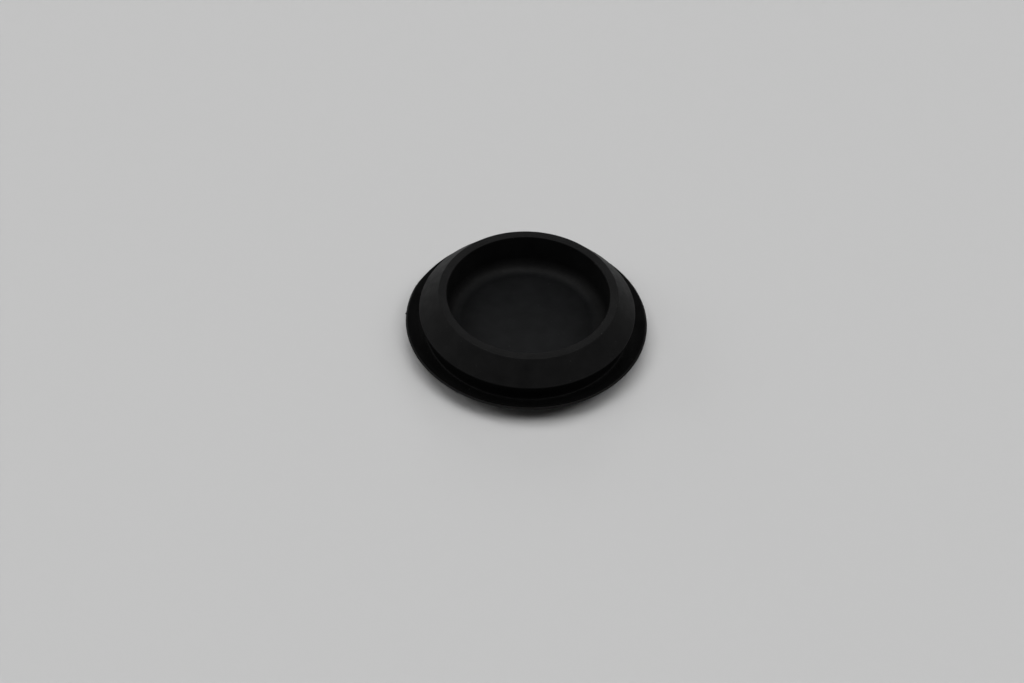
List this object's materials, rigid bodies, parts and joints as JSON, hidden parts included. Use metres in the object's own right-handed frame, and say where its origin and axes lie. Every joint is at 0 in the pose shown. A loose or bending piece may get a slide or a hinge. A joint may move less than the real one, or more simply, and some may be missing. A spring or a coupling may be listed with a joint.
{
  "type": "rubber blanking plug",
  "caption": "Round one-piece rubber plug with a thin-lipped, dished head, a groove for sheet metal, a tapered snap-in nose and a hollow cup.",
  "frame": {"origin": "centre of the head's resting face, on the surface it lies on", "axes": "+Z along the plug's axis of revolution, from the head towards the mouth of the cup"},
  "size_m": [0.038, 0.038, 0.0092],
  "materials": {
    "rubber": "satin moulded black rubber"
  },
  "bodies": {
    "root": {"plug": "rubber"}
  },
  "joints": []
}
